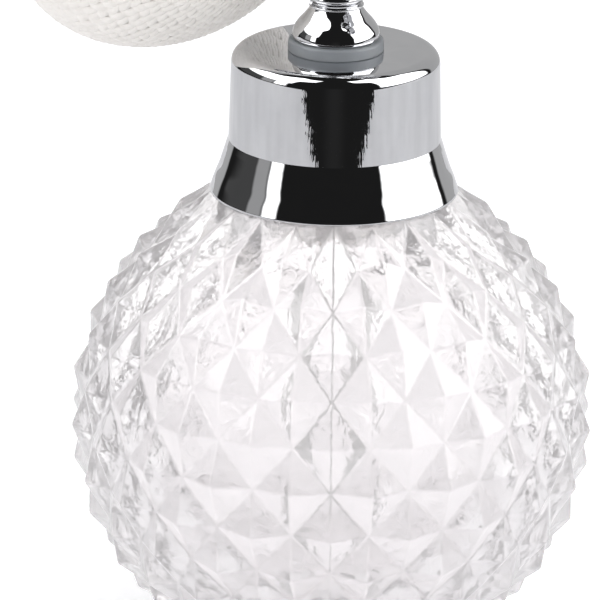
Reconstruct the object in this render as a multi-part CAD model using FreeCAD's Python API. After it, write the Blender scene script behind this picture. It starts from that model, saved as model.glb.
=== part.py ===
"""Squeeze-bulb perfume atomiser: a round cut-glass bottle, a chrome collar and a spray head with a knit-covered bulb.

Frame: millimetres, +Z up, origin at the centre of the flat base. The bottle's axis is Z.
The spray barrel's axis runs along X at HEAD_Z: the nozzle points to +X and the bulb to -X.
"""

import FreeCAD
import Part

import math
import os

from FreeCAD import Vector

# ---- driving dimensions (mm, degrees) ----
# Glass body: a sphere covered in four-sided pyramids
APEX_RADIUS = 38.0
VALLEY_RADIUS = 36.0
BODY_CENTRE_Z = 33.5
PYRAMIDS_ROUND = 20
ROW_START = -0.5  # latitude of row 0
ROW_STEP = 10.5
FIRST_ROW, LAST_ROW = -6, 6
FOOT_RING_RADIUS = 36.5  # distance of the lowest ring from the body's centre
TOP_RING_RADIUS = 38.0
CAVITY_RADIUS = 30.8
CAVITY_CENTRE_Z = 34.0
CAVITY_FLOOR_Z = 6.5
NECK_RADIUS = 8.9
NECK_BORE = 6.75
NECK_TOP_Z = 82.0
NECK_BEAD_Z = 78.0
NECK_BEAD_RADIUS = 9.55

# Collar
COLLAR_BOTTOM_Z = 67.4
COLLAR_TOP_Z = 88.5
COLLAR_CREASE_Z = 75.3
COLLAR_FOOT_RADIUS = 17.9
COLLAR_CREASE_RADIUS = 15.3
COLLAR_RADIUS = 15.0
COLLAR_EDGE = 1.9
COLLAR_WALL = 0.7

# Thread between bush and head
THREAD_PITCH = 1.0
SHANK_RADIUS = 4.4
BUSH_BORE = 4.5
THREAD_DEPTH = 0.4
BUSH_RADIUS = 5.5
SHANK_BOTTOM_Z = 80.5

# Spray head
WASHER_TOP_Z = COLLAR_TOP_Z + 1.75
BELL_TOP_Z = COLLAR_TOP_Z + 6.9
STEM_TOP_Z = COLLAR_TOP_Z + 9.45
HEAD_Z = COLLAR_TOP_Z + 13.95
BALL_RADIUS = 5.2
BARREL_RADIUS = 3.9
BARREL_HALF = 6.9
AIR_BORE = 1.6
END_BORE = 2.5
END_BORE_DEPTH = 3.2
GASKET_WIDTH = 0.4
FEED_RADIUS = 0.75
FEED_BEND = 1.4
DIP_RADIUS = 1.5
DIP_BORE = 0.9
DIP_BOTTOM_Z = 9.5
DIP_TOP_Z = 86.0

# Bulb, measured from the bottle's axis towards -X
BULB_START = 11.2
BULB_LENGTH = 47.4
BULB_RADIUS = 22.0
BULB_SKEW = 0.29  # moves the widest ring towards the tail
COVER_WALL = 1.2
BLADDER_WALL = 2.0
NIPPLE_RADIUS = 2.8
NIPPLE_END = 20.0
BLADDER_NECK = 4.1
COVER_NECK = 5.0
SPIGOT_RADIUS = 3.0
VALVE_BALL = 1.5
VALVE_BORE = 1.9
SEAT_BORE = 0.9

FIT = 0.03  # radial gap between pieces screwed or pressed together


# ---- helpers ----
def outline(start, *steps):
    """Closed face in the XZ plane from (radius, height) points.
    A step is a point, ("arc", middle, end) or ("curve", [points])."""
    here = Vector(start[0], 0, start[1])
    edges = []

    def at(p):
        return Vector(p[0], 0, p[1])

    for step in steps:
        if step[0] == "arc":
            edges.append(Part.Arc(here, at(step[1]), at(step[2])).toShape())
            here = at(step[2])
        elif step[0] == "curve":
            curve = Part.BSplineCurve()
            curve.interpolate([here] + [at(p) for p in step[1]])
            edges.append(curve.toShape())
            here = at(step[1][-1])
        else:
            edges.append(Part.makeLine(here, at(step)))
            here = at(step)
    first = at(start)
    if (here - first).Length > 1e-7:
        edges.append(Part.makeLine(here, first))
    return Part.Face(Part.Wire(edges))


def turned(start, *steps):
    """Solid turned about the bottle's axis."""
    return outline(start, *steps).revolve(Vector(), Vector(0, 0, 1), 360)


def turned_on_barrel(start, *steps):
    """Solid turned about the barrel's axis. The outline's heights are positions along X."""
    shape = turned(start, *steps)
    shape.rotate(Vector(), Vector(0, 1, 0), 90)
    shape.translate(Vector(0, 0, HEAD_Z))
    return shape


def tube(outer, inner, low, high):
    return turned((inner, low), (outer, low), (outer, high), (inner, high))


def barrel_tube(outer, inner, low, high):
    return turned_on_barrel((inner, low), (outer, low), (outer, high), (inner, high))


def rod_along_z(radius, low, high):
    return Part.makeCylinder(radius, high - low, Vector(0, 0, low))


def rod_along_x(radius, low, high):
    return Part.makeCylinder(radius, high - low, Vector(low, 0, HEAD_Z), Vector(1, 0, 0))


def ridged(radius, depth, low, high):
    """Steps from low to high over a thread's grooves, each rising by depth from radius and back."""
    steps = []
    for turn in range(int((high - low) / THREAD_PITCH)):
        root = low + THREAD_PITCH * turn
        steps.append((radius + depth, root + THREAD_PITCH / 2))
        steps.append((radius, root + THREAD_PITCH))
    return steps


# ---- glass bottle ----
def row_latitude(row):
    return ROW_START + ROW_STEP * row


def pattern_point(column, row):
    """A pyramid's apex where column + row is even, a valley crossing elsewhere. The end rows lie on plain rings."""
    if row == LAST_ROW:
        radius = TOP_RING_RADIUS
    elif row == FIRST_ROW:
        radius = FOOT_RING_RADIUS
    elif (column + row) % 2 == 0:
        radius = APEX_RADIUS
    else:
        radius = VALLEY_RADIUS
    longitude = math.radians(180.0 / PYRAMIDS_ROUND * column)
    latitude = math.radians(row_latitude(row))
    across = radius * math.cos(latitude)
    up = radius * math.sin(latitude)
    return Vector(across * math.cos(longitude), across * math.sin(longitude), BODY_CENTRE_Z + up)


def facet(*points):
    return Part.Face(Part.makePolygon(list(points) + [points[0]]))


def pyramid_body():
    """The faceted body as one solid, closed by a flat polygon at each end."""
    columns = 2 * PYRAMIDS_ROUND
    grid = {}
    for row in range(FIRST_ROW, LAST_ROW + 1):
        for column in range(columns):
            grid[column, row] = pattern_point(column, row)
    faces = []
    for row in range(FIRST_ROW, LAST_ROW):
        for column in range(columns):
            after = (column + 1) % columns
            low_left, low_right = grid[column, row], grid[after, row]
            high_left, high_right = grid[column, row + 1], grid[after, row + 1]
            if (column + row) % 2 == 0:
                # apexes at low left and high right, so the valley joins the other two
                faces.append(facet(low_left, low_right, high_left))
                faces.append(facet(high_right, high_left, low_right))
            else:
                faces.append(facet(low_right, high_right, low_left))
                faces.append(facet(high_left, low_left, high_right))
    for row in (FIRST_ROW, LAST_ROW):
        faces.append(facet(*[grid[column, row] for column in range(columns)]))
    return Part.makeSolid(Part.makeShell(faces))


def glass_bottle():
    shoulder_z = pattern_point(0, LAST_ROW).z
    foot_z = pattern_point(0, FIRST_ROW).z
    neck = turned(
        (0, shoulder_z - 4),
        (15.0, shoulder_z - 4),
        (16.6, shoulder_z),
        ("arc", (15.6, shoulder_z + 1.2), (13.0, shoulder_z + 1.7)),
        (NECK_RADIUS + 1.0, shoulder_z + 2.2),
        ("arc", (NECK_RADIUS + 0.3, shoulder_z + 2.5), (NECK_RADIUS, shoulder_z + 3.2)),
        (NECK_RADIUS, NECK_BEAD_Z),
        ("arc", (NECK_BEAD_RADIUS, NECK_BEAD_Z + 0.7), (NECK_RADIUS, NECK_BEAD_Z + 1.4)),
        (NECK_RADIUS, NECK_TOP_Z - 0.5),
        (NECK_RADIUS - 0.5, NECK_TOP_Z),
        (0, NECK_TOP_Z),
    )
    foot = turned((0, 0), (16.2, 0), (16.9, foot_z), (15.0, foot_z + 2), (0, foot_z + 2))
    floor_radius = math.sqrt(CAVITY_RADIUS**2 - (CAVITY_CENTRE_Z - CAVITY_FLOOR_Z - 2.5) ** 2)
    mouth_z = CAVITY_CENTRE_Z + math.sqrt(CAVITY_RADIUS**2 - (NECK_BORE + 1.2) ** 2)
    cavity = turned(
        (0, CAVITY_FLOOR_Z),
        (floor_radius - 6, CAVITY_FLOOR_Z),
        ("arc", (floor_radius - 2.2, CAVITY_FLOOR_Z + 0.6), (floor_radius, CAVITY_FLOOR_Z + 2.5)),
        ("arc", (CAVITY_RADIUS, CAVITY_CENTRE_Z), (NECK_BORE + 1.2, mouth_z)),
        ("arc", (NECK_BORE + 0.3, mouth_z + 0.9), (NECK_BORE, mouth_z + 2.2)),
        (NECK_BORE, NECK_TOP_Z + 1),
        (0, NECK_TOP_Z + 1),
    )
    return pyramid_body().fuse(neck).fuse(foot).cut(cavity).removeSplitter()


# ---- collar ----
def collar_shell():
    """Chromed cap: an upright wall over a flared skirt, with a hole in the top for the bush."""
    inner = COLLAR_RADIUS - COLLAR_WALL
    edge = COLLAR_EDGE
    corner = edge * (1 - math.sqrt(0.5))
    return turned(
        (COLLAR_FOOT_RADIUS - COLLAR_WALL, COLLAR_BOTTOM_Z),
        (COLLAR_FOOT_RADIUS - 0.15, COLLAR_BOTTOM_Z),
        (COLLAR_FOOT_RADIUS, COLLAR_BOTTOM_Z + 0.25),
        ("arc", (16.5, 71.55), (COLLAR_CREASE_RADIUS, COLLAR_CREASE_Z)),
        (COLLAR_RADIUS, COLLAR_TOP_Z - edge),
        (
            "arc",
            (COLLAR_RADIUS - corner, COLLAR_TOP_Z - corner),
            (COLLAR_RADIUS - edge, COLLAR_TOP_Z),
        ),
        (BUSH_RADIUS + FIT, COLLAR_TOP_Z),
        (BUSH_RADIUS + FIT, COLLAR_TOP_Z - 0.8),
        (inner - 1.2, COLLAR_TOP_Z - 0.8),
        (inner, COLLAR_TOP_Z - edge),
        (COLLAR_CREASE_RADIUS - COLLAR_WALL, COLLAR_CREASE_Z),
        ("arc", (15.8, 71.55), (COLLAR_FOOT_RADIUS - COLLAR_WALL, COLLAR_BOTTOM_Z + 0.25)),
    )


def collar_core():
    """Plastic sleeve that snaps over the neck bead and carries the shell on eight ribs."""
    low, high, web = 71.0, COLLAR_TOP_Z - 3.0, 2.3
    sleeve = turned(
        (NECK_RADIUS + FIT, low),
        (11.0, low),
        (11.0, high - 2.5),
        (COLLAR_RADIUS - COLLAR_WALL - 0.1, high - 2.5),
        (COLLAR_RADIUS - COLLAR_WALL - 0.1, high),
        (BUSH_RADIUS + 2 * FIT, high),
        (BUSH_RADIUS + 2 * FIT, high - web),
        (NECK_RADIUS + FIT, high - web),
        (NECK_RADIUS + FIT, NECK_BEAD_Z + 1.5),
        ("arc", (NECK_BEAD_RADIUS + 0.08, NECK_BEAD_Z + 0.7), (NECK_RADIUS + FIT, NECK_BEAD_Z - 0.1)),
    )
    rib_reach = COLLAR_RADIUS - COLLAR_WALL - 0.15
    ribs = []
    for step in range(8):
        rib = Part.makeBox(rib_reach - 10.8, 1.2, 8.0, Vector(10.8, -0.6, high - 10.3))
        rib.rotate(Vector(), Vector(0, 0, 1), 45 * step)
        ribs.append(rib)
    return sleeve.fuse(ribs).removeSplitter()


def neck_seal():
    return tube(NECK_RADIUS - 0.1, BUSH_RADIUS + 0.1, NECK_TOP_Z, NECK_TOP_Z + 1.2)


def threaded_bush():
    """Brass bush held between the shell's top and the core, threaded inside for the head."""
    low = NECK_TOP_Z - 2.0
    flange_low, flange_high = COLLAR_TOP_Z - 2.95, COLLAR_TOP_Z - 0.8
    return turned(
        (BUSH_BORE, low),
        *ridged(BUSH_BORE, THREAD_DEPTH, low, COLLAR_TOP_Z - 0.6),
        (BUSH_BORE, COLLAR_TOP_Z - 0.6),
        (BUSH_BORE + 0.4, COLLAR_TOP_Z),
        (BUSH_RADIUS, COLLAR_TOP_Z),
        (BUSH_RADIUS, flange_high),
        (9.5, flange_high),
        (9.5, flange_low),
        (BUSH_RADIUS, flange_low),
        (BUSH_RADIUS, low),
    )


# ---- washer, dip tube and its holder ----
def seal_washer():
    """Translucent washer with an upright wall and a rounded top edge."""
    top = WASHER_TOP_Z
    return turned(
        (SHANK_RADIUS + 0.05, COLLAR_TOP_Z),
        (6.8, COLLAR_TOP_Z),
        (6.9, COLLAR_TOP_Z + 0.12),
        (6.85, top - 0.5),
        ("arc", (6.68, top - 0.14), (6.35, top)),
        (SHANK_RADIUS + 0.05, top),
    )


def tube_holder():
    """Plastic plug in the shank's bore that grips the dip tube."""
    low = SHANK_BOTTOM_Z + 0.2
    return turned(
        (DIP_RADIUS + FIT, low),
        (2.75, low),
        (2.95, low + 0.4),
        (2.95, 87.4),
        (FEED_RADIUS + 0.1, 87.4),
        (FEED_RADIUS + 0.1, DIP_TOP_Z),
        (DIP_RADIUS + FIT, DIP_TOP_Z),
    )


def dip_tube():
    whole = tube(DIP_RADIUS, DIP_BORE, DIP_BOTTOM_Z, DIP_TOP_Z)
    slant = Part.makeBox(10, 10, 10, Vector(-5, -5, -10))
    slant.rotate(Vector(), Vector(0, 1, 0), 35)
    slant.translate(Vector(0, 0, DIP_BOTTOM_Z + 1.2))
    return whole.cut(slant)


# ---- spray head ----
def stem_bell():
    """Chromed bell with the threaded shank below it."""
    base = WASHER_TOP_Z
    return turned(
        (3.0, SHANK_BOTTOM_Z),
        (SHANK_RADIUS - 0.5, SHANK_BOTTOM_Z),
        (SHANK_RADIUS - THREAD_DEPTH, SHANK_BOTTOM_Z + 0.4),
        *ridged(SHANK_RADIUS - THREAD_DEPTH, THREAD_DEPTH, SHANK_BOTTOM_Z + 0.4, COLLAR_TOP_Z - 1.0),
        (SHANK_RADIUS - THREAD_DEPTH, COLLAR_TOP_Z - 0.4),
        (SHANK_RADIUS, COLLAR_TOP_Z),
        (SHANK_RADIUS, base),
        (6.1, base),
        ("arc", (6.3, base + 0.6), (6.2, base + 1.15)),
        ("curve", [(5.98, base + 1.75), (5.4, base + 2.6), (4.6, base + 3.5), (3.95, base + 4.35)]),
        (3.75, BELL_TOP_Z - 0.45),
        (3.95, BELL_TOP_Z - 0.3),
        (3.95, BELL_TOP_Z),
        (2.03, BELL_TOP_Z),
        (2.03, BELL_TOP_Z - 2.9),
        (FEED_RADIUS + 0.1, BELL_TOP_Z - 2.9),
        (FEED_RADIUS + 0.1, 87.5),
        (3.0, 87.5),
    )


def stem_column():
    """Turned column between bell and ball: a thin ring, a round bead and a waist."""
    low, high = BELL_TOP_Z, STEM_TOP_Z
    return turned(
        (FEED_RADIUS + 0.1, low - 2.8),
        (2.0, low - 2.8),
        (2.0, low),
        (3.5, low),
        (3.5, low + 0.3),
        ("arc", (4.2, low + 1.25), (3.4, low + 2.2)),
        (2.9, low + 2.4),
        (2.9, high),
        (2.17, high),
        (2.17, high + 2.8),
        (FEED_RADIUS + 0.1, high + 2.8),
    )


def head_body():
    """Ball with a horizontal barrel through it. The end bores take the nozzle and the bulb's nipple."""
    ball = Part.makeSphere(BALL_RADIUS, Vector(0, 0, HEAD_Z))
    ball = ball.cut(rod_along_z(BALL_RADIUS, STEM_TOP_Z - BALL_RADIUS, STEM_TOP_Z))
    foot = rod_along_z(3.3, STEM_TOP_Z, HEAD_Z)
    crown = rod_along_z(3.0, HEAD_Z, HEAD_Z + BALL_RADIUS + 0.3)
    shape = ball.fuse([foot, crown, rod_along_x(BARREL_RADIUS - 0.3, -BARREL_HALF, BARREL_HALF)])
    for side in (-1, 1):
        near, far = sorted((side * (BARREL_HALF - 1.2), side * BARREL_HALF))
        shape = shape.fuse(rod_along_x(BARREL_RADIUS + 0.3, near, far))
        near, far = sorted((side * (BARREL_HALF - END_BORE_DEPTH), side * (BARREL_HALF + 1)))
        shape = shape.cut(rod_along_x(END_BORE, near, far))
    shape = shape.cut(rod_along_x(AIR_BORE, -BARREL_HALF, BARREL_HALF))
    shape = shape.cut(rod_along_z(2.2, STEM_TOP_Z - 1, STEM_TOP_Z + 2.85))
    shape = shape.cut(rod_along_z(FEED_RADIUS + 0.25, STEM_TOP_Z, HEAD_Z))
    shape = shape.cut(rod_along_z(1.53, HEAD_Z + 3.0, HEAD_Z + 10))
    return shape.removeSplitter()


def head_cap():
    """Domed cap screwed into the ball's crown."""
    low = HEAD_Z + BALL_RADIUS + 0.3
    return turned(
        (0, low - 2.4),
        (1.5, low - 2.4),
        (1.5, low),
        (3.2, low),
        (3.2, low + 0.5),
        (2.6, low + 0.8),
        ("arc", (1.9, low + 2.1), (0.6, low + 2.7)),
        (0, low + 2.7),
    )


def nozzle_cap():
    """Tapered nozzle screwed into the barrel's front end."""
    face = BARREL_HALF + GASKET_WIDTH
    root = BARREL_HALF - END_BORE_DEPTH + 0.2
    return turned_on_barrel(
        (1.3, root),
        (END_BORE - FIT, root),
        (END_BORE - FIT, face),
        (3.9, face),
        (3.9, face + 0.9),
        (3.3, face + 1.2),
        ("arc", (2.75, face + 2.9), (2.6, face + 4.6)),
        (3.0, face + 5.0),
        (3.0, face + 5.8),
        (2.6, face + 6.2),
        (1.9, face + 6.2),
        (1.9, face + 4.8),
        (1.3, face + 4.8),
    )


def nozzle_jet():
    """Small disc with the spray hole."""
    low = BARREL_HALF + GASKET_WIDTH + 4.8
    return turned_on_barrel(
        (0.5, low),
        (1.87, low),
        (1.87, low + 0.9),
        (1.5, low + 1.2),
        (0.3, low + 1.2),
        (0.3, low + 0.5),
    )


def nozzle_gasket():
    return barrel_tube(3.7, END_BORE + 0.02, BARREL_HALF, BARREL_HALF + GASKET_WIDTH)


def inlet_gasket():
    return barrel_tube(3.7, END_BORE + 0.02, -BARREL_HALF - GASKET_WIDTH, -BARREL_HALF)


def feed_pipe(radius, low, tip):
    """Upright pipe with a quarter bend into the barrel, ending at x = tip."""
    bend_z = HEAD_Z - FEED_BEND
    upright = rod_along_z(radius, low, bend_z)
    disc = Part.Face(Part.Wire(Part.Circle(Vector(0, 0, bend_z), Vector(0, 0, 1), radius).toShape()))
    elbow = disc.revolve(Vector(FEED_BEND, 0, bend_z), Vector(0, 1, 0), 90)
    return upright.fuse([elbow, rod_along_x(radius, FEED_BEND, tip)])


def feed_tube():
    """Bent brass tube that carries the perfume to the jet, with the air round it."""
    tip = BARREL_HALF + GASKET_WIDTH + 4.1
    outer = feed_pipe(FEED_RADIUS, 84.0, tip)
    inner = feed_pipe(0.4, 83.0, tip + 1)
    return outer.cut(inner).removeSplitter()


# ---- bulb side ----
def inlet_nipple():
    """Nipple screwed into the barrel's rear end. Two barbs hold the bulb and the end holds the check valve."""
    root = BARREL_HALF - END_BORE_DEPTH + 0.2
    face = BARREL_HALF + GASKET_WIDTH
    step_x, mouth = 14.2, NIPPLE_END
    nipple = turned_on_barrel(
        (1.1, -root),
        (END_BORE - FIT, -root),
        (END_BORE - FIT, -face),
        (5.6, -face),
        (5.7, -face - 0.25),
        (5.7, -face - 0.7),
        (NIPPLE_RADIUS, -face - 0.7),
        (NIPPLE_RADIUS, -10.5),
        (NIPPLE_RADIUS + 0.3, -10.5),
        (NIPPLE_RADIUS, -12.0),
        (NIPPLE_RADIUS + 0.3, -12.0),
        (NIPPLE_RADIUS, -13.5),
        (NIPPLE_RADIUS, -mouth + 0.3),
        (NIPPLE_RADIUS - 0.3, -mouth),
        (VALVE_BORE, -mouth),
        (VALVE_BORE, -step_x),
        (1.1, -step_x),
    )
    slot = Part.makeBox(1.5, 0.8, 3.4, Vector(-step_x, -0.4, HEAD_Z - 1.7))
    cross = Part.makeBox(1.5, 3.4, 0.8, Vector(-step_x, -1.7, HEAD_Z - 0.4))
    return nipple.cut([slot, cross])


def check_seat():
    """Ring in the nipple's mouth that the check ball closes on."""
    return barrel_tube(VALVE_BORE - 0.02, SEAT_BORE, -NIPPLE_END, -NIPPLE_END + 2.2)


def ball_at(x):
    return Part.makeSphere(VALVE_BALL, Vector(x, 0, HEAD_Z))


def seated(seat_x):
    """Centre of a ball resting on a round hole whose rim is at seat_x."""
    return seat_x + math.sqrt(VALVE_BALL**2 - SEAT_BORE**2) + 0.03


def check_ball():
    return ball_at(seated(-NIPPLE_END + 2.2))


def egg_points(inset, near_radius, far_radius, count=9):
    """Points (radius, x) on the bulb's outline, inset inwards, between the neck radius and the tail radius."""
    length = BULB_LENGTH - 2 * inset
    samples = []
    steps = 720
    for step in range(steps + 1):
        angle = math.pi * step / steps
        u = -math.cos(angle)
        samples.append((math.sin(angle) * (1 + BULB_SKEW * u), u))
    widest = max(radius for radius, _ in samples)
    scaled = []
    for radius, u in samples:
        scaled.append((radius / widest * (BULB_RADIUS - inset), -BULB_START - inset - (u + 1) / 2 * length))
    top = max(range(len(scaled)), key=lambda n: scaled[n][0])
    first = next(n for n in range(top) if scaled[n][0] >= near_radius)
    last = next(n for n in range(steps, top, -1) if scaled[n][0] >= far_radius)
    picked = [scaled[round(first + (last - first) * n / (count - 1))] for n in range(count)]
    picked[0] = (near_radius, picked[0][1])
    picked[-1] = (far_radius, picked[-1][1])
    return picked


def bulb_cover():
    """Knitted cover as one plain shell, drawn in at the neck and open at the tail."""
    outside = egg_points(0, COVER_NECK, 4.6)
    inside = egg_points(COVER_WALL, BLADDER_NECK + 0.02, 4.0)
    end = -BULB_START - BULB_LENGTH
    return turned_on_barrel(
        (BLADDER_NECK + 0.02, -8.3),
        (COVER_NECK, -8.3),
        outside[0],
        ("curve", outside[1:]),
        (4.2, end),
        (SPIGOT_RADIUS + 0.1, end),
        (SPIGOT_RADIUS + 0.1, end + COVER_WALL - 0.1),
        inside[-1],
        ("curve", inside[-2::-1]),
    )


def bulb_bladder():
    """Hollow rubber bulb with a neck for the nipple and a hole for the tail valve."""
    gap = COVER_WALL + 0.06
    outside = egg_points(gap, BLADDER_NECK - 0.02, 4.2)
    inside = egg_points(gap + BLADDER_WALL, NIPPLE_RADIUS, SPIGOT_RADIUS + 0.6)
    end = -BULB_START - BULB_LENGTH + gap
    return turned_on_barrel(
        (NIPPLE_RADIUS, -8.2),
        (BLADDER_NECK - 0.02, -8.2),
        outside[0],
        ("curve", outside[1:]),
        (SPIGOT_RADIUS + 0.1, end),
        (SPIGOT_RADIUS + 0.1, end + BLADDER_WALL),
        inside[-1],
        ("curve", inside[-2::-1]),
    )


def bulb_ferrule():
    """Chromed ring that clamps the cover on the bulb's neck."""
    near, far = -8.2, -11.2
    return turned_on_barrel(
        (COVER_NECK + 0.02, near),
        (5.7, near),
        (5.9, near - 0.3),
        (5.6, near - 0.7),
        (5.6, far + 0.8),
        ("arc", (6.1, far + 0.35), (5.7, far)),
        (COVER_NECK + 0.02, far),
    )


def tail_valve_body():
    """Plug in the bulb's tail: a flange outside, a spigot inside and the seat for the inlet ball."""
    flange = -BULB_START - BULB_LENGTH - 0.1
    seat = flange + 1.6
    inner_end = seat + 6.0
    return turned_on_barrel(
        (SEAT_BORE, flange - 1.2),
        (5.3, flange - 1.2),
        (5.3, flange),
        (SPIGOT_RADIUS, flange),
        (SPIGOT_RADIUS, inner_end - 0.3),
        (SPIGOT_RADIUS - 0.3, inner_end),
        (VALVE_BORE, inner_end),
        (VALVE_BORE, seat),
        (SEAT_BORE, seat),
    )


def tail_ball():
    return ball_at(seated(-BULB_START - BULB_LENGTH + 1.5))


def tail_retainer():
    """Slotted ring that keeps the inlet ball in the plug."""
    seat = -BULB_START - BULB_LENGTH + 1.5
    ring = barrel_tube(VALVE_BORE - 0.02, 0.7, seat + 4.4, seat + 5.6)
    slot = Part.makeBox(0.6, 0.7, 3.2, Vector(seat + 4.4, -0.35, HEAD_Z - 1.6))
    return ring.cut(slot)


def tail_cap():
    """Chromed dome over the plug's flange, with the air hole in its centre."""
    base = -BULB_START - BULB_LENGTH - 0.1
    return turned_on_barrel(
        (0.9, base - 3.4),
        ("curve", [(2.6, base - 3.15), (4.4, base - 2.35), (5.6, base - 1.2)]),
        (5.9, base - 0.9),
        (6.15, base - 0.5),
        (6.0, base),
        (5.35, base),
        (5.35, base - 1.25),
        ("curve", [(4.0, base - 2.0), (2.4, base - 2.6), (0.9, base - 2.8)]),
    )


SUBPARTS = [
    glass_bottle, collar_shell, collar_core, neck_seal, threaded_bush,
    seal_washer, tube_holder, dip_tube,
    stem_bell, stem_column, head_body, head_cap,
    nozzle_cap, nozzle_jet, nozzle_gasket, inlet_gasket, feed_tube,
    inlet_nipple, check_seat, check_ball,
    bulb_cover, bulb_bladder, bulb_ferrule,
    tail_valve_body, tail_ball, tail_retainer, tail_cap,
]


def main():
    os.makedirs("parts", exist_ok=True)
    for make in SUBPARTS:
        shape = make()
        if not shape.isValid() or len(shape.Solids) != 1:
            print("CHECK", make.__name__, "valid:", shape.isValid(), "solids:", len(shape.Solids))
        shape.exportStep("parts/" + make.__name__ + ".step")
        print(make.__name__, "volume %.1f mm3" % shape.Volume)


main()
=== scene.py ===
"""Looks of the squeeze-bulb perfume bottle: cut glass, chromed collar and spray head, knitted bulb cover.

Profiles are in millimetres, as (radius, height) or (radius, height, fillet), and become metres in the mesh.
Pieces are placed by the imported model's boxes, so they sit where the CAD says.
"""

import math

import bmesh
import bpy
import numpy as np
from mathutils import Matrix, Vector


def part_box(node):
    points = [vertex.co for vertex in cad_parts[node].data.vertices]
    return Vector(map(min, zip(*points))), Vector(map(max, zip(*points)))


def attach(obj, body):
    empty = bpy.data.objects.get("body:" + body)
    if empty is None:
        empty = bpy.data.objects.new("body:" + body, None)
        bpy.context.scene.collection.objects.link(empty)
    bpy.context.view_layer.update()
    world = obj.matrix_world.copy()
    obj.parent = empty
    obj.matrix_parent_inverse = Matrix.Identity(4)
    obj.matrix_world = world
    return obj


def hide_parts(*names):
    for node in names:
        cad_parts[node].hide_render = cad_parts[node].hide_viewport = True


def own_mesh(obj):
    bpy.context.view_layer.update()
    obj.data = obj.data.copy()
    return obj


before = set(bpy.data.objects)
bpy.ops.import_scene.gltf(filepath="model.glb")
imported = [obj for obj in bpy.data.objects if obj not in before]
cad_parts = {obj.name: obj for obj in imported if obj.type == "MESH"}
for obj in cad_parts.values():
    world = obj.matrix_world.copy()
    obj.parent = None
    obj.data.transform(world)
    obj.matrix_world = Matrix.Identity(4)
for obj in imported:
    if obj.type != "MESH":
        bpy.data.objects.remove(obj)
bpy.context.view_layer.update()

MM = 0.001


def low_mm(node):
    return Vector(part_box(node)[0]) / MM


def high_mm(node):
    return Vector(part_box(node)[1]) / MM


# ---- driving sizes (mm) ----
APEX_RADIUS = (high_mm("glass_bottle").x - low_mm("glass_bottle").x) / 2
VALLEY_RADIUS = APEX_RADIUS - 2.0
BODY_CENTRE_Z = 33.5
PYRAMIDS_ROUND = 20
ROW_START, ROW_STEP = -0.5, 10.5  # degrees of latitude
FIRST_ROW, LAST_ROW = -6, 6
RIDGE_SOFTNESS = 0.33
CAVITY_Z, CAVITY_RADIUS = 34.0, 30.8  # the round room for the perfume
FOOT_RING_RADIUS = APEX_RADIUS - 1.5
NECK_TOP_Z = high_mm("glass_bottle").z
COLLAR_LOW_Z = low_mm("collar_shell").z
COLLAR_TOP_Z = high_mm("collar_shell").z
COLLAR_FOOT_RADIUS = high_mm("collar_shell").x
WASHER_TOP_Z = high_mm("seal_washer").z
BELL_TOP_Z = high_mm("stem_bell").z
STEM_TOP_Z = low_mm("head_body").z
FEED_BORE = 0.85
HEAD_Z = (high_mm("nozzle_jet").z + low_mm("nozzle_jet").z) / 2
BARREL_END = high_mm("head_body").x
BULB_NEAR_X = -11.2
BULB_FAR_X = low_mm("bulb_cover").x
BULB_RADIUS = high_mm("bulb_cover").y
BULB_SKEW = 0.29  # how much fuller the bulb is towards its neck
WALES, COURSE = 44, 2.05
SPIRAL = 0.27  # mm that the wales turn round the bulb for each mm along it, at its widest

# ---- view and light ----
CAMERA_AZIMUTH = math.radians(-45)  # direction from the bottle to the camera, about +Z from +X
CAMERA_ELEVATION = math.radians(18)
CAMERA_DISTANCE = 1.8
CAMERA_ROLL = math.radians(0.7)
VIEW_WIDTH = 0.0869  # what the frame spans at the bottle, in metres
AIM_RIGHT, AIM_UP = -0.0047, 0.0162  # the frame's middle, seen from the glass body's centre
FLOOR_FRONT, FLOOR_DEPTH = 0.322, 0.42  # how far it reaches before and behind the bottle's axis, in metres
FLOOR_ASKEW = 0.07  # how far its front edge runs back for each metre sideways
SOFT_BOX, GREY_CARD, GLOOM = 3.6, 0.5, 0.016  # what polished metal mirrors, as radiance
# degrees round from the camera, the same on both sides
TENT_GAPS = ((60, 64), (80, 83), (97, 100), (112, 116), (126, 131), (140, 143))


# ---- mesh helpers ----
SHARP = math.radians(32)  # a surface that turns more than this at an edge has a crease there


def rounded(corners, step=math.radians(9)):
    """Profile through (radius, height, fillet) corners of a closed outline, each fillet as a short arc."""
    points = []
    for index, (radius, height, fillet) in enumerate(corners):
        here = Vector((radius, height))
        if fillet == 0:
            points.append((radius, height))
            continue
        before = (Vector(corners[index - 1][:2]) - here).normalized()
        after = (Vector(corners[(index + 1) % len(corners)][:2]) - here).normalized()
        half = before.angle(after) / 2
        centre = here + (before + after).normalized() * (fillet / math.sin(half))
        start = here + before * (fillet / math.tan(half)) - centre
        end = here + after * (fillet / math.tan(half)) - centre
        turn = math.atan2(start.x * end.y - start.y * end.x, start.dot(end))
        count = max(2, math.ceil(abs(turn) / step))
        for k in range(count + 1):
            points.append(tuple(centre + Matrix.Rotation(turn * k / count, 2) @ start))
    return points


def spline(points, steps=8):
    """Smooth run through (radius, height) points, as corners with no fillet."""
    ends = [points[0]] + list(points) + [points[-1]]
    run = []
    for a, b, c, d in zip(ends, ends[1:], ends[2:], ends[3:]):
        a, b, c, d = map(Vector, (a, b, c, d))
        for k in range(steps):
            t = k / steps
            bend = (2 * a - 5 * b + 4 * c - d) * t**2 + (3 * b - a - 3 * c + d) * t**3
            p = 0.5 * (2 * b + (c - a) * t + bend)
            run.append((p.x, p.y, 0))
    run.append((*points[-1], 0))
    return run


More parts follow.
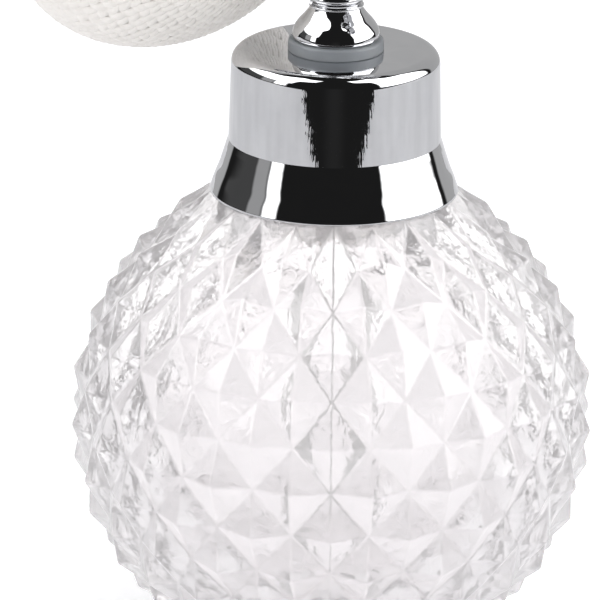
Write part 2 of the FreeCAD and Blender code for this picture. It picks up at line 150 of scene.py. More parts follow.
def lathe_data(profile, columns, closed):
    """Vertices in mm and faces of a profile turned about Z. Points on the axis become poles."""
    verts, rings, faces = [], [], []
    for radius, height in profile:
        first = len(verts)
        if radius < 1e-6:
            verts.append((0, 0, height))
            rings.append([first] * columns)
            continue
        for c in range(columns):
            angle = 2 * math.pi * c / columns
            verts.append((radius * math.cos(angle), radius * math.sin(angle), height))
        rings.append(list(range(first, first + columns)))
    if closed:
        rings.append(rings[0])
    for lower, upper in zip(rings, rings[1:]):
        for c in range(columns):
            d = (c + 1) % columns
            face = list(dict.fromkeys((lower[c], lower[d], upper[d], upper[c])))
            if len(face) > 2:
                faces.append(face)
    return verts, faces


def shade(bm):
    """Outward normals, smooth faces and sharp edges where the surface turns quickly."""
    bmesh.ops.recalc_face_normals(bm, faces=bm.faces)
    for face in bm.faces:
        face.smooth = True
    for edge in bm.edges:
        edge.smooth = len(edge.link_faces) == 2 and edge.calc_face_angle() < SHARP


def new_object(name, mesh):
    piece = bpy.data.objects.new(name, mesh)
    bpy.context.scene.collection.objects.link(piece)
    return piece


def object_from(bm, name):
    mesh = bpy.data.meshes.new(name)
    bm.to_mesh(mesh)
    bm.free()
    return new_object(name, mesh)


# about Z as it is; about the barrel with heights along +X
ALONG_Z = Matrix.Identity(4)
ALONG_BARREL = Matrix.Translation((0, 0, HEAD_Z)) @ Matrix.Rotation(math.pi / 2, 4, "Y")


def lathe(name, profiles, columns=192):
    """One object from turned profiles: (profile, closed, placement) each."""
    bm = bmesh.new()
    for profile, closed, placement in profiles:
        verts, faces = lathe_data(profile, columns, closed)
        made = [bm.verts.new(placement @ Vector(v) * MM) for v in verts]
        for face in faces:
            bm.faces.new([made[i] for i in face])
    shade(bm)
    return object_from(bm, name)


def stand_for(piece, material, body, slot_name, *nodes):
    """Gives a piece its material and its body, and hides the CAD nodes that it stands for."""
    piece.data.materials.append(material)
    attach(piece, body)
    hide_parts(*nodes)


# ---- material helpers ----
class Surface:
    """A Principled material with a few named node patterns on it."""

    def __init__(self, name, color, **sockets):
        self.material = bpy.data.materials.new(name)
        self.material.use_nodes = True
        self.tree = self.material.node_tree
        self.shader = self.tree.nodes["Principled BSDF"]
        self.shader.inputs["Base Color"].default_value = (*color, 1)
        for socket, value in sockets.items():
            self.shader.inputs[socket.replace("_", " ")].default_value = value
        self.place = self.node("ShaderNodeTexCoord").outputs["Object"]

    def node(self, kind, **settings):
        made = self.tree.nodes.new(kind)
        for key, value in settings.items():
            setattr(made, key, value)
        return made

    def link(self, source, target):
        self.tree.links.new(source, target)

    def noise(self, size_mm, detail=3.0, stretch=(1, 1, 1), distortion=0.0):
        """Noise from 0 to 1 whose features are about size_mm across."""
        spread = self.node("ShaderNodeMapping")
        spread.inputs["Scale"].default_value = [s / (size_mm * MM) for s in stretch]
        made = self.node("ShaderNodeTexNoise")
        made.inputs["Scale"].default_value = 1.0
        made.inputs["Detail"].default_value = detail
        made.inputs["Distortion"].default_value = distortion
        self.link(self.place, spread.inputs["Vector"])
        self.link(spread.outputs[0], made.inputs["Vector"])
        return made.outputs["Fac"]

    def tint(self, value, first, second, start=0.3, end=0.7):
        """Base colour from first to second as value goes from start to end."""
        ramp = self.node("ShaderNodeValToRGB")
        ramp.color_ramp.elements[0].position = start
        ramp.color_ramp.elements[1].position = end
        ramp.color_ramp.elements[0].color = (*first, 1)
        ramp.color_ramp.elements[1].color = (*second, 1)
        self.link(value, ramp.inputs[0])
        self.link(ramp.outputs[0], self.shader.inputs["Base Color"])

    def rough(self, value, low, high):
        """Roughness from low to high as value goes from 0.3 to 0.7."""
        made = self.node("ShaderNodeMapRange")
        for socket, number in (("From Min", 0.3), ("From Max", 0.7), ("To Min", low), ("To Max", high)):
            made.inputs[socket].default_value = number
        self.link(value, made.inputs["Value"])
        self.link(made.outputs["Result"], self.shader.inputs["Roughness"])

    def bump(self, value, height_mm):
        """Adds relief of about height_mm on top of any relief already there."""
        made = self.node("ShaderNodeBump")
        made.inputs["Strength"].default_value = 1.0
        made.inputs["Distance"].default_value = height_mm * MM
        self.link(value, made.inputs["Height"])
        normal = self.shader.inputs["Normal"]
        if normal.links:
            self.link(normal.links[0].from_socket, made.inputs["Normal"])
        self.link(made.outputs[0], normal)


def chrome(name, ripple_mm):
    made = Surface(name, (0.62, 0.625, 0.64), Metallic=1.0)
    smear = made.noise(6.0, detail=5.0, distortion=0.6)
    made.tint(smear, (0.60, 0.605, 0.62), (0.645, 0.648, 0.66))
    made.rough(made.noise(2.2, detail=6.0), 0.005, 0.03)
    made.bump(made.noise(3.4, detail=2.0), ripple_mm)
    return made.material


def brass(name):
    made = Surface(name, (0.72, 0.52, 0.24), Metallic=1.0)
    made.tint(made.noise(1.6, detail=5.0), (0.62, 0.43, 0.18), (0.80, 0.60, 0.30))
    made.rough(made.noise(0.7, detail=6.0, stretch=(1, 1, 6)), 0.16, 0.34)
    made.bump(made.noise(0.4, detail=2.0, stretch=(0.3, 0.3, 5)), 0.004)
    return made.material


def moulded(name, color, darker, **sockets):
    made = Surface(name, color, **sockets)
    made.tint(made.noise(3.0, detail=4.0), color, darker)
    made.rough(made.noise(0.8, detail=5.0), 0.32, 0.52)
    made.bump(made.noise(0.35, detail=3.0), 0.006)
    return made.material


def glass(name, clearness, ripple_mm, pits_mm, **sockets):
    """Pressed glass. Clearness short of 1 is the milky veil that thick fire-polished glass has."""
    made = Surface(
        name, (0.985, 0.965, 0.97), IOR=1.5, Roughness=0.0, Transmission_Weight=clearness, **sockets,
    )
    made.bump(made.noise(2.6, detail=2.0, distortion=0.8), ripple_mm)
    made.bump(made.noise(0.9, detail=2.0), pits_mm)
    return made.material


def cotton(name, light, dark):
    made = Surface(name, light, Sheen_Weight=0.25, Sheen_Roughness=0.5)
    made.tint(made.noise(1.4, detail=6.0), dark, light, 0.25, 0.6)
    made.rough(made.noise(0.5), 0.82, 0.96)
    made.bump(made.noise(0.12, detail=4.0, stretch=(1, 1, 0.35)), 0.05)
    return made.material


CHROME = chrome("chrome_plate", 0.012)
CHROME_SMALL = chrome("chrome_plate_small", 0.004)
BRASS = brass("turned_brass")
GLASS = glass("cut_glass", 0.72, 0.12, 0.009, Sheen_Weight=0.8, Sheen_Roughness=0.3)
GLASS_INSIDE = glass("cut_glass_inside", 1.0, 0.25, 0.05)
COTTON = cotton("knit_cotton", (0.86, 0.832, 0.80), (0.80, 0.77, 0.735))
COTTON_BASE = cotton("knit_cotton_base", (0.84, 0.80, 0.76), (0.76, 0.72, 0.68))
LATEX = moulded("bladder_latex", (0.66, 0.54, 0.40), (0.58, 0.46, 0.33))
BLACK_RUBBER = moulded("black_rubber", (0.03, 0.03, 0.032), (0.05, 0.05, 0.05))
POLYPROPYLENE = (0.82, 0.82, 0.80), (0.76, 0.76, 0.735)
# painted glow: the core plastic is given a little emission of its own, though it is no lamp, so the glass
# just below the collar looks lighter
CORE_PLASTIC_PAINTED_GLOW = moulded(
    "core_polypropylene_painted_glow", *POLYPROPYLENE, Emission_Color=(1.0, 0.98, 0.985, 1), Emission_Strength=0.7,
)
HOLDER_PLASTIC = moulded("holder_polypropylene", *POLYPROPYLENE)
VALVE_PLASTIC = moulded("valve_plastic", (0.86, 0.86, 0.84), (0.80, 0.80, 0.78))
FOAM = moulded("seal_foam", (0.84, 0.84, 0.81), (0.74, 0.74, 0.70))
CLEAR_WASHER = moulded(
    "washer_polyethylene", (0.53, 0.565, 0.605), (0.47, 0.505, 0.545), Transmission_Weight=0.6,
)
TUBE_PLASTIC = moulded("tube_polyethylene", (0.92, 0.93, 0.92), (0.87, 0.88, 0.87), Transmission_Weight=0.75)
STEEL = chrome("ball_steel", 0.001)


# ---- glass bottle ----
def pattern_point(column, row):
    """A pyramid's apex where column + row is even, a valley crossing elsewhere, as in the CAD."""
    if row == LAST_ROW:
        radius = APEX_RADIUS
    elif row == FIRST_ROW:
        radius = FOOT_RING_RADIUS
    else:
        radius = APEX_RADIUS if (column + row) % 2 == 0 else VALLEY_RADIUS
    longitude = math.radians(180 / PYRAMIDS_ROUND * column)
    latitude = math.radians(ROW_START + ROW_STEP * row)
    across = radius * math.cos(latitude)
    height = BODY_CENTRE_Z + radius * math.sin(latitude)
    return Vector((across * math.cos(longitude), across * math.sin(longitude), height)) * MM


def pyramid_mesh(bm):
    """The pyramids as triangles, with their ridges and valleys softened as fire-polished glass has them."""
    columns = 2 * PYRAMIDS_ROUND
    grid = {}
    for row in range(FIRST_ROW, LAST_ROW + 1):
        for column in range(columns):
            grid[column, row] = bm.verts.new(pattern_point(column, row))
    for row in range(FIRST_ROW, LAST_ROW):
        for column in range(columns):
            after = (column + 1) % columns
            low_left, low_right = grid[column, row], grid[after, row]
            high_left, high_right = grid[column, row + 1], grid[after, row + 1]
            if (column + row) % 2 == 0:
                bm.faces.new((low_left, low_right, high_left))
                bm.faces.new((high_right, high_left, low_right))
            else:
                bm.faces.new((low_right, high_right, low_left))
                bm.faces.new((high_left, low_left, high_right))
    inner = [e for e in bm.edges if len(e.link_faces) == 2]
    bmesh.ops.bevel(
        bm, geom=inner, affect="EDGES",
        offset=RIDGE_SOFTNESS * MM, segments=2, profile=0.5, clamp_overlap=True,
    )


def ring_edges(bm, radius, height, columns):
    made = []
    for c in range(columns):
        angle = 2 * math.pi * c / columns
        made.append(bm.verts.new(Vector((radius * math.cos(angle), radius * math.sin(angle), height)) * MM))
    return made, [bm.edges.new((made[c - 1], made[c])) for c in range(columns)]


def on_cavity(point):
    """Whether a point in mm lies on the round wall of the cavity, as 1 or 0."""
    away = math.hypot(point.x, point.y, point.z - CAVITY_Z)
    return int(away < CAVITY_RADIUS + 0.7 and 6 < point.z < 63)


def glass_body():
    """One closed mesh: pyramids outside, then the neck, bore and cavity above them and the foot below."""
    columns = 200
    bm = bmesh.new()
    pyramid_mesh(bm)
    shoulder_z = pattern_point(0, LAST_ROW).z / MM
    foot_z = pattern_point(0, FIRST_ROW).z / MM
    middle = BODY_CENTRE_Z * MM
    top_edges = [e for e in bm.edges if e.is_boundary and e.verts[0].co.z > middle]
    foot_edges = [e for e in bm.edges if e.is_boundary and e.verts[0].co.z < middle]
    outside = rounded([
        (16.7, shoulder_z, 0), (16.3, shoulder_z + 1.4, 1.0), (10.0, shoulder_z + 2.2, 1.0),
        (8.9, shoulder_z + 3.4, 0.6), (8.9, 78.0, 0.1), (9.55, 78.35, 0.25), (9.55, 79.05, 0.25),
        (8.9, 79.4, 0.1), (8.9, NECK_TOP_Z, 0.8), (6.75, NECK_TOP_Z, 0.6),
    ])
    bore = [(6.75, 67.5, 0)] + spline([(6.75, 66.4), (7.15, 65.1), (8.2, 63.7), (10.5, 62.6)], 5)[1:]
    start, end, steps = math.asin((bore[-1][1] - CAVITY_Z) / CAVITY_RADIUS), math.radians(-61), 60
    for k in range(1, steps):
        angle = start + (end - start) * k / steps
        bore.append((CAVITY_RADIUS * math.cos(angle), CAVITY_Z + CAVITY_RADIUS * math.sin(angle), 0))
    cavity_floor = [(14.6, 7.3, 1.2), (12.0, 6.6, 3.0), (6.0, 6.9, 3.0), (0, 7.2, 0)]
    inside = rounded([*bore, *cavity_floor])
    foot = rounded([(15.9, foot_z, 0), (15.9, 0.0, 0.5), (14.2, 0.0, 0.5), (13.6, 0.7, 0.6), (0, 1.3, 0)])
    for run, edges in ((outside + inside, top_edges), (foot, foot_edges)):
        ring, ring_loop = ring_edges(bm, run[0][0], run[0][1], columns)
        bmesh.ops.triangle_fill(bm, edges=edges + ring_loop, use_beauty=True)
        lower = ring
        for radius, height in run[1:]:
            if radius < 1e-6:
                pole = bm.verts.new((0, 0, height * MM))
                for c in range(columns):
                    bm.faces.new((lower[c - 1], lower[c], pole))
                break
            raised = Vector((0, 0, height * MM))
            upper = [bm.verts.new(v.co.xy.normalized().to_3d() * radius * MM + raised) for v in ring]
            for c in range(columns):
                bm.faces.new((lower[c - 1], lower[c], upper[c], upper[c - 1]))
            lower = upper
    shade(bm)
    for face in bm.faces:
        face.material_index = on_cavity(face.calc_center_median() / MM)
    return object_from(bm, "glass_body")


# ---- collar and washer ----
def collar_plate():
    wall = 0.7
    foot = COLLAR_FOOT_RADIUS
    low = COLLAR_LOW_Z + 0.25
    flare = spline([(foot - 0.02, low), (17.3, 69.4), (16.7, 70.9), (16.2, 72.45), (15.52, 74.7)], 6)
    back = [(r - wall, h, 0) for r, h, _ in reversed(flare)]
    corners = [
        (foot - wall, COLLAR_LOW_Z, 0), (foot - 0.05, COLLAR_LOW_Z, 0.15),
        *flare[:-1], (15.3, 75.3, 0.3), (15.0, COLLAR_TOP_Z, 1.9),
        (5.53, COLLAR_TOP_Z, 0.15), (5.53, COLLAR_TOP_Z - 0.8, 0), (14.2, COLLAR_TOP_Z - 0.8, 1.2),
        *back,
    ]
    return lathe("collar_plate", [(rounded(corners, math.radians(5)), True, ALONG_Z)], 256)


def washer():
    base, top = COLLAR_TOP_Z, WASHER_TOP_Z
    corners = [
        (4.45, base, 0), (6.82, base, 0.1), (6.9, base + 0.15, 0.1), (6.84, top, 0.5), (4.45, top, 0),
    ]
    return lathe("washer_ring", [(rounded(corners), True, ALONG_Z)], 192)


# ---- spray head ----
def bell():
    base, top = WASHER_TOP_Z, BELL_TOP_Z
    shank_low, holder_seat = low_mm("stem_bell").z, 87.5
    thread_root, thread_crest, pitch = 4.0, 4.4, 1.0
    corners = [(3.0, shank_low, 0), (3.9, shank_low, 0.2)]
    root = shank_low + 0.4
    while root < COLLAR_TOP_Z - 1.2:
        corners += [(thread_root, root, 0), (thread_crest, root + pitch / 2, 0.08)]
        root += pitch
    corners += [(thread_root, root, 0), (thread_root, COLLAR_TOP_Z - 0.4, 0), (thread_crest, COLLAR_TOP_Z, 0)]
    corners += [(thread_crest, base, 0), (6.1, base, 0.12)]
    corners += spline([
        (6.28, base + 0.3), (6.3, base + 0.6), (6.2, base + 1.15), (5.98, base + 1.75),
        (5.4, base + 2.6), (4.6, base + 3.5), (3.95, base + 4.35), (3.72, base + 4.75),
    ], 6)
    corners += [(3.95, top - 0.28, 0.1), (3.95, top, 0.1), (2.03, top, 0)]
    corners += [(2.03, top - 2.9, 0), (FEED_BORE, top - 2.9, 0)]
    corners += [(FEED_BORE, holder_seat, 0), (3.0, holder_seat, 0)]
    return lathe("bell", [(rounded(corners, math.radians(12)), True, ALONG_Z)], 224)


def column():
    low, high = BELL_TOP_Z, STEM_TOP_Z
    corners = [(FEED_BORE, low - 2.8, 0), (2.0, low - 2.8, 0), (2.0, low, 0)]
    corners += [(3.5, low, 0.08), (3.5, low + 0.32, 0.06)]
    corners += spline([
        (3.62, low + 0.42), (4.1, low + 0.85), (4.2, low + 1.3), (3.95, low + 1.8), (3.4, low + 2.18),
    ], 6)
    corners += [(2.9, low + 2.4, 0.15), (2.9, high, 0), (2.17, high, 0)]
    corners += [(2.17, high + 2.8, 0), (FEED_BORE, high + 2.8, 0)]
    return lathe("column", [(rounded(corners), True, ALONG_Z)], 192)


def head_ball():
    """Ball and barrel turned about the barrel, with the stem's foot and the crown flowing into the ball."""
    ball, barrel, ring, end = 5.2, 3.6, 4.2, BARREL_END
    half = []
    steps, degrees = 24, 44
    for k in range(steps + 1):
        angle = math.radians(90 - degrees * k / steps)
        half.append((ball * math.sin(angle), ball * math.cos(angle), 0))
    side = half[:-1] + [(barrel, 3.9, 0.5), (barrel, end - 1.5, 0.15)]
    side += [(ring, end - 1.1, 0.25), (ring, end, 0.3)]
    mirrored = [(r, -h, f) for r, h, f in reversed(side[1:])]
    bore = [(2.5, end, 0.15), (2.5, end - 3.2, 0), (1.6, end - 3.2, 0)]
    bore += [(1.6, -end + 3.2, 0), (2.5, -end + 3.2, 0), (2.5, -end, 0.15)]
    across = rounded(mirrored + side + bore)
    low = STEM_TOP_Z
    foot = rounded([
        (2.2, low, 0), (3.3, low, 0.2), (3.3, low + 0.7, 0.1), (3.0, low + 0.95, 0.3),
        (4.1, HEAD_Z - 3.0, 0), (2.2, HEAD_Z - 3.0, 0),
    ])
    crown_low, crown_top = HEAD_Z + 3.6, low_mm("head_cap").z + 2.4
    crown = rounded([
        (1.53, crown_low, 0), (3.7, crown_low, 0), (3.0, HEAD_Z + 4.75, 0.35),
        (3.0, crown_top, 0.15), (1.53, crown_top, 0),
    ])
    turned = [(across, True, ALONG_BARREL), (foot, True, ALONG_Z), (crown, True, ALONG_Z)]
    return lathe("head_ball", turned, 160)


def finial():
    low = low_mm("head_cap").z + 2.4
    corners = [(0, low - 2.4, 0), (1.5, low - 2.4, 0.15), (1.5, low, 0)]
    corners += [(3.2, low, 0.15), (3.2, low + 0.5, 0.2), (2.5, low + 0.75, 0.15)]
    corners += spline([
        (2.5, low + 1.0), (2.32, low + 1.6), (1.8, low + 2.25), (1.0, low + 2.6), (0, low + 2.7),
    ], 6)
    return lathe("finial", [(rounded(corners), False, ALONG_Z)], 128)


def nozzle():
    face = low_mm("nozzle_gasket").x + 0.4
    root = low_mm("nozzle_cap").x
    corners = [(1.3, root, 0), (2.47, root, 0.1), (2.47, face, 0)]
    corners += [(3.9, face, 0.12), (3.9, face + 0.9, 0.25), (3.3, face + 1.2, 0.1)]
    corners += spline([(3.05, face + 1.6), (2.8, face + 2.6), (2.65, face + 3.7), (2.6, face + 4.5)], 6)
    corners += [(3.0, face + 5.0, 0.15), (3.0, face + 5.8, 0.2)]
    corners += [(2.6, face + 6.2, 0.12), (1.9, face + 6.2, 0.1)]
    corners += [(1.9, face + 4.8, 0), (1.3, face + 4.8, 0)]
    return lathe("nozzle", [(rounded(corners), True, ALONG_BARREL)], 160)


def ferrule():
    near, far = high_mm("bulb_ferrule").x, low_mm("bulb_ferrule").x
    corners = [
        (5.02, near, 0), (5.75, near, 0.15), (5.95, near - 0.35, 0.2), (5.55, near - 0.75, 0.12),
        (5.55, far + 0.95, 0.12), (6.1, far + 0.6, 0.2), (6.1, far + 0.1, 0.2), (5.02, far, 0.05),
    ]
    return lathe("ferrule", [(rounded(corners), True, ALONG_BARREL)], 160)


def tail_dome():
    base = high_mm("tail_cap").x
    corners = [(0.9, base - 3.4, 0.15)]
    corners += spline([(1.1, base - 3.38), (2.6, base - 3.15), (4.4, base - 2.35), (5.5, base - 1.35)], 6)
    corners += [(5.7, base - 1.1, 0.1), (6.15, base - 0.9, 0.2), (6.15, base - 0.05, 0.25)]
    corners += [(5.35, base, 0.05), (5.35, base - 1.25, 0)]
    corners += [(r, h, 0) for r, h, _ in spline([(4.0, base - 2.0), (2.4, base - 2.6), (0.9, base - 2.8)], 5)]
    return lathe("tail_dome", [(rounded(corners), True, ALONG_BARREL)], 160)


# ---- bulb ----
def bulb_profile(inset):
    """Points (x, radius) in mm along the bulb's outline, from the neck to the tail, inset inwards."""
    length = BULB_NEAR_X - BULB_FAR_X
    angle = np.linspace(0, math.pi, 400)
    u = -np.cos(angle)
    radius = np.sin(angle) * (1 + BULB_SKEW * u)
    radius *= (BULB_RADIUS - inset) / radius.max()
    x = BULB_NEAR_X - inset - (u + 1) / 2 * (length - 2 * inset)
    return x, radius


def cover_path(inset):
    """Distance along the cover's line, x and radius: straight under the ferrule, then bulb and tail."""
    x, radius = bulb_profile(inset)
    neck, tail, clamped_x = 5.0 - inset, 4.8 - inset, -8.35
    front = np.argmax(radius > neck)
    back = len(radius) - np.argmax(radius[::-1] > tail)
    x = np.concatenate(([clamped_x], [BULB_NEAR_X - 0.4], x[front:back], [x[back - 1] - 0.02]))
    radius = np.concatenate(([neck], [neck], radius[front:back], [tail - 0.6]))
    along = np.concatenate(([0], np.cumsum(np.hypot(np.diff(x), np.diff(radius)))))
    return along, x, radius


def bladder():
    """Hollow rubber bulb: neck, egg-shaped wall and a hole for the tail valve."""
    _, x, radius = cover_path(1.45)
    picked = np.linspace(0, len(x) - 1, 90).astype(int)
    outside = [(max(r, 3.2), h, 0) for r, h in zip(radius[picked], x[picked])]
    inside = [(max(r - 1.8, 2.82), min(h + 1.2, -8.4), 0) for r, h, _ in reversed(outside)]
    return lathe("bladder", [([(r, h) for r, h, _ in outside + inside], True, ALONG_BARREL)], 128)


def cover_lining():
    """Closed inner layer of the knit, seen only between the stitches."""
    _, x, radius = cover_path(0.5)
    _, x_in, radius_in = cover_path(1.15)
    picked = np.linspace(0, len(x) - 1, 110).astype(int)
    outside = [(r, h) for r, h in zip(radius[picked], x[picked])]
    inside = [(r, h) for r, h in zip(radius_in[picked], x_in[picked])]
    return lathe("cover_lining", [(outside + inside[::-1], True, ALONG_BARREL)], 160)


def knit(name, start_share, end_share):
    """Plain knit as yarn legs: each stitch is a V of two plump strokes, tucked under the next one along."""
    along, x, radius = cover_path(0.62)
    courses = int(along[-1] / COURSE)
    rows = np.arange(int(courses * start_share), int(courses * end_share) + (end_share == 1))
    t = np.linspace(0, 1, 7)  # along a stroke
    arc = np.linspace(-1.35, 1.35, 7)  # over the yarn from side to side, in radians
    random = np.random.default_rng(7)
    middle = (BULB_NEAR_X + BULB_FAR_X) / 2 - 2.0
    verts, faces = [], []
    for row in rows:
        relief = 1.1 - 0.6 * min(1, max(0, (row / courses - 0.4) / 0.3))
        for wale in range(WALES):
            wobble = random.normal(0, 1, 4)
            for side in (-1, 1):
                s = np.clip((row + 0.5 + 1.5 * (t - 0.5) + 0.05 * wobble[0]) * COURSE, 0, along[-1])
                xs, rs = np.interp(s, along, x), np.interp(s, along, radius)
                after, before = s + 0.1, s - 0.1
                rise = np.interp(after, along, radius) - np.interp(before, along, radius)
                slope = np.arctan2(rise, np.interp(after, along, x) - np.interp(before, along, x))
                width = 2 * math.pi * rs / WALES
                half_width = (0.3 + 0.06 * (1 - relief)) * width * (1 + 0.05 * wobble[1])
                half_height = np.minimum(0.42, 0.3 * width)
                lateral = side * width * (0.14 + 0.2 * t) + 0.03 * wobble[2] * width
                lift = relief * half_height * (0.1 + 0.8 * np.sin(math.pi * np.clip(t * 0.92 + 0.06, 0, 1)))
                fullness = 0.68 + 0.32 * np.sin(math.pi * t)
                twist = 2 * math.pi * wale / WALES + SPIRAL * s / BULB_RADIUS
                base = len(verts)
                for k in range(len(t)):
                    for a in arc:
                        stand = lift[k] + half_height[k] * fullness[k] * (math.cos(a) - 0.6)
                        out = rs[k] + stand * abs(math.cos(slope[k]))
                        fore = xs[k] + stand * abs(math.sin(slope[k])) * np.sign(xs[k] - middle)
                        angle = twist[k] + (lateral[k] + half_width[k] * fullness[k] * math.sin(a)) / rs[k]
                        verts.append((fore, out * math.cos(angle), HEAD_Z + out * math.sin(angle)))
                for k in range(len(t) - 1):
                    for m in range(len(arc) - 1):
                        corner = base + k * len(arc) + m
                        faces.append((corner, corner + 1, corner + 1 + len(arc), corner + len(arc)))
    mesh = bpy.data.meshes.new(name)
    mesh.from_pydata([tuple(c * MM for c in v) for v in verts], [], faces)
    mesh.shade_smooth()
    return new_object(name, mesh)


# ---- pieces ----
bottle = glass_body()
stand_for(bottle, GLASS, "bottle", "cut_glass", "glass_bottle")
bottle.data.materials.append(GLASS_INSIDE)
stand_for(collar_plate(), CHROME, "bottle", "chrome_plate", "collar_shell")
stand_for(washer(), CLEAR_WASHER, "washer", "clear_washer", "seal_washer")
stand_for(bell(), CHROME_SMALL, "spray_head", "chrome_plate", "stem_bell")
stand_for(column(), CHROME_SMALL, "spray_head", "chrome_plate", "stem_column")
stand_for(head_ball(), CHROME_SMALL, "spray_head", "chrome_plate", "head_body")
stand_for(finial(), CHROME_SMALL, "spray_head", "chrome_plate", "head_cap")
stand_for(nozzle(), CHROME_SMALL, "spray_head", "chrome_plate", "nozzle_cap")
stand_for(ferrule(), CHROME_SMALL, "spray_head", "chrome_plate", "bulb_ferrule")
stand_for(tail_dome(), CHROME_SMALL, "bulb_tail", "chrome_plate", "tail_cap")

for piece, material, slot_name, node in (
    (bladder(), LATEX, "bladder_rubber", "bulb_bladder"),
    (cover_lining(), COTTON_BASE, "knit_cotton", "bulb_cover"),
    (knit("knit_front", 0.0, 0.5), COTTON, "knit_cotton", "bulb_cover"),
    (knit("knit_back", 0.5, 1.0), COTTON, "knit_cotton", "bulb_cover"),
):
    stand_for(piece, material, "spray_head", slot_name, node)
    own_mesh(piece)

for node, material in {
    # the collar core's plastic carries a painted glow (emission)
    "collar_core": CORE_PLASTIC_PAINTED_GLOW, "neck_seal": FOAM, "threaded_bush": BRASS,
    "tube_holder": HOLDER_PLASTIC, "dip_tube": TUBE_PLASTIC, "feed_tube": BRASS,
    "nozzle_jet": BRASS, "nozzle_gasket": BLACK_RUBBER, "inlet_gasket": BLACK_RUBBER,
    "inlet_nipple": CHROME_SMALL, "check_seat": BLACK_RUBBER, "check_ball": STEEL,
    "tail_valve_body": VALVE_PLASTIC, "tail_ball": STEEL, "tail_retainer": BRASS,
}.items():
    for material_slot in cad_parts[node].material_slots:
        material_slot.material = material


# ---- floor, light and camera ----
toward_camera = Vector((math.cos(CAMERA_AZIMUTH), math.sin(CAMERA_AZIMUTH), 0))
sideways = Vector((-toward_camera.y, toward_camera.x, 0))


def floor():
    """Pale table top. Its front edge is a little askew and as rough as a torn sheet of card."""
    near = np.linspace(-0.4, 0.4, 1601)
    across = np.concatenate(([-1.6, -0.42], near, [0.42, 1.6]))
    verts, faces = [], []
    for side in across:
        coarse = 0.009 * math.sin(480 * side + 1.5 * math.sin(170 * side))
        fine = 0.004 * math.sin(1010 * side + 2 * math.sin(390 * side))
        verts.append(toward_camera * (FLOOR_FRONT - FLOOR_ASKEW * side + coarse + fine) + sideways * side)
        verts.append(-toward_camera * FLOOR_DEPTH + sideways * side)
    for c in range(len(across) - 1):
        faces.append((2 * c, 2 * c + 1, 2 * c + 3, 2 * c + 2))
    mesh = bpy.data.meshes.new("floor")
    mesh.from_pydata(verts, [], faces)
    made = Surface("floor_white", (0.83, 0.83, 0.85), Emission_Color=(1, 1, 1, 1))
    made.tint(made.noise(80, detail=2.0), (0.76, 0.76, 0.78), (0.88, 0.88, 0.90))
    # it glows as if lit from below, though not where metal mirrors it, and less where glass shows it
    own_glow, glow_through_glass = 0.36, 0.26
    path = made.node("ShaderNodeLightPath")
    plain = made.node("ShaderNodeMath", operation="MULTIPLY_ADD")
    plain.inputs[1].default_value, plain.inputs[2].default_value = -own_glow, own_glow
    seen_through = made.node("ShaderNodeMath", operation="MULTIPLY")
    seen_through.inputs[1].default_value = glow_through_glass
    glow = made.node("ShaderNodeMath", operation="MAXIMUM")
    made.link(path.outputs["Is Glossy Ray"], plain.inputs[0])
    made.link(path.outputs["Is Transmission Ray"], seen_through.inputs[0])
    made.link(plain.outputs[0], glow.inputs[0])
    made.link(seen_through.outputs[0], glow.inputs[1])
    made.link(glow.outputs[0], made.shader.inputs["Emission Strength"])
    made.rough(made.noise(3.0), 0.65, 0.8)
    mesh.materials.append(made.material)
    piece = new_object("floor", mesh)


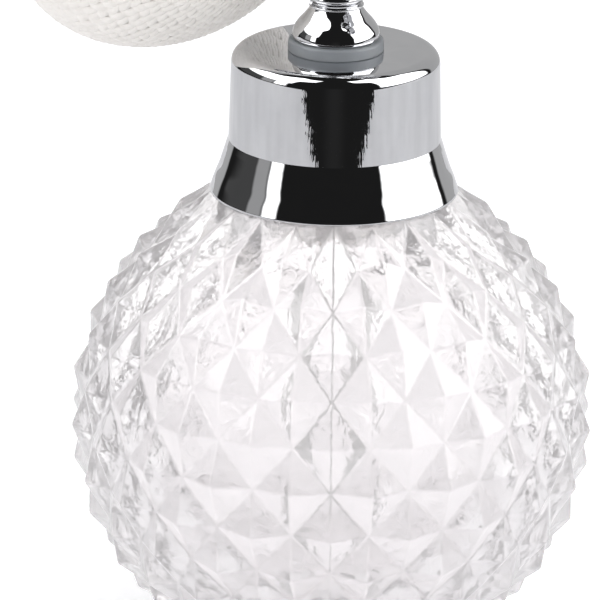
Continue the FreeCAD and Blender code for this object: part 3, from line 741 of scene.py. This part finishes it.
def studio():
    """Surroundings by direction. A pale light tent lights the object and shows through the glass, with dark
    gaps between its panels. Polished surfaces mirror the studio inside it: two tall soft boxes, a grey
    backdrop, and gloom towards the camera and overhead. Azimuths are in degrees from the camera, and heights
    in degrees above level."""
    world = bpy.data.worlds.new("studio")
    bpy.context.scene.world = world
    world.use_nodes = True
    tree = world.node_tree
    nodes, links = tree.nodes, tree.links

    def math_node(operation, first, second=None):
        made = nodes.new("ShaderNodeMath")
        made.operation = operation
        for index, value in enumerate((first, second)):
            if value is None:
                continue
            if isinstance(value, (int, float)):
                made.inputs[index].default_value = value
            else:
                links.new(value, made.inputs[index])
        return made.outputs[0]

    def rise(value, edge, soft):
        made = nodes.new("ShaderNodeMapRange")
        made.interpolation_type = "SMOOTHSTEP"
        made.inputs["From Min"].default_value = edge - soft
        made.inputs["From Max"].default_value = edge + soft
        links.new(value, made.inputs["Value"])
        return made.outputs["Result"]

    def between(value, low, high, soft):
        return math_node("SUBTRACT", rise(value, low, soft), rise(value, high, soft))

    turn = nodes.new("ShaderNodeVectorRotate")
    turn.rotation_type = "Z_AXIS"
    turn.inputs["Angle"].default_value = -CAMERA_AZIMUTH
    links.new(nodes.new("ShaderNodeTexCoord").outputs["Generated"], turn.inputs["Vector"])
    split = nodes.new("ShaderNodeSeparateXYZ")
    links.new(turn.outputs[0], split.inputs[0])
    forward, right, up = split.outputs
    azimuth = math_node("MULTIPLY", math_node("ARCTAN2", right, forward), 180 / math.pi)
    height = math_node("MULTIPLY", math_node("ARCSINE", up), 180 / math.pi)

    def panel(low, high, bottom, top, strength, around=azimuth, soft=2.0):
        inside = math_node("MULTIPLY", between(around, low, high, soft), between(height, bottom, top, soft))
        return math_node("MULTIPLY", inside, strength)

    def total_of(*parts):
        total = parts[0]
        for part in parts[1:]:
            total = math_node("ADD", total, part)
        return total

    # the soft boxes lean in over the bottle, so the gap between them narrows overhead
    side = math_node("SIGN", azimuth)
    lean_in = math_node("MULTIPLY", side, math_node("MULTIPLY", rise(height, 55, 6), 20))
    lean = math_node("ADD", azimuth, lean_in)
    boxes = total_of(
        panel(50, 119, 1, 73.5, SOFT_BOX, lean),
        panel(-126, -52, 26, 73.5, SOFT_BOX, lean),
        panel(-126, -88, 1, 26, 0.018 * SOFT_BOX, soft=3.0),
        panel(-70, -56, 1, 28, 0.9 * SOFT_BOX),
        panel(-88, -72, 1, 28, 0.12 * SOFT_BOX),
    )
    mirrored = total_of(
        boxes,
        panel(127, 190, -30, 58, GREY_CARD),
        panel(-190, -135, -30, 58, GREY_CARD),
        panel(-9, 7, -30, 8, 0.01, soft=7),
        GLOOM,
    )
    daylight = total_of(1.0, math_node("MULTIPLY", right, 0.16), math_node("MULTIPLY", forward, 0.12))
    gaps = total_of(*(
        panel(low, high, -40, 75, 1.7, math_node("ABSOLUTE", azimuth), soft=0.6) for low, high in TENT_GAPS
    ))
    tent = total_of(1.58, math_node("MULTIPLY", up, 0.3), math_node("MULTIPLY", boxes, 0.03))
    through = math_node("SUBTRACT", tent, gaps)

    path = nodes.new("ShaderNodeLightPath")
    refracted = path.outputs["Is Transmission Ray"]
    reflected = math_node("MULTIPLY", path.outputs["Is Glossy Ray"], math_node("SUBTRACT", 1, refracted))
    scattered = math_node("SUBTRACT", math_node("SUBTRACT", 1, refracted), reflected)
    lit = total_of(
        math_node("MULTIPLY", mirrored, reflected),
        math_node("MULTIPLY", through, refracted),
        math_node("MULTIPLY", daylight, scattered),
    )
    seen = math_node("MAXIMUM", lit, math_node("MULTIPLY", path.outputs["Is Camera Ray"], 1.1))
    background = nodes["Background"]
    links.new(seen, background.inputs["Color"])
    background.inputs["Strength"].default_value = 1.0
    world.cycles.sampling_method = "NONE"


def camera():
    data = bpy.data.cameras.new("camera")
    data.sensor_width = 36
    data.lens = 36 * CAMERA_DISTANCE / VIEW_WIDTH
    data.clip_start, data.clip_end = 0.1, 20
    made = bpy.data.objects.new("camera", data)
    bpy.context.scene.collection.objects.link(made)
    back = toward_camera * math.cos(CAMERA_ELEVATION) + Vector((0, 0, math.sin(CAMERA_ELEVATION)))
    upward = back.cross(sideways)
    aim = Vector((0, 0, BODY_CENTRE_Z * MM)) + sideways * AIM_RIGHT + upward * AIM_UP
    made.location = aim + back * CAMERA_DISTANCE
    made.rotation_mode = "QUATERNION"
    level = back.to_track_quat("Z", "Y").to_matrix()
    made.rotation_quaternion = (Matrix.Rotation(CAMERA_ROLL, 3, back) @ level).to_quaternion()
    bpy.context.scene.camera = made


floor()
studio()
camera()
scene = bpy.context.scene
scene.view_settings.view_transform = "Standard"
scene.view_settings.look = "None"
scene.cycles.max_bounces = 24  # light crosses the glass four times, often with reflections inside it
scene.cycles.transmission_bounces = 24
scene.cycles.diffuse_bounces = 6
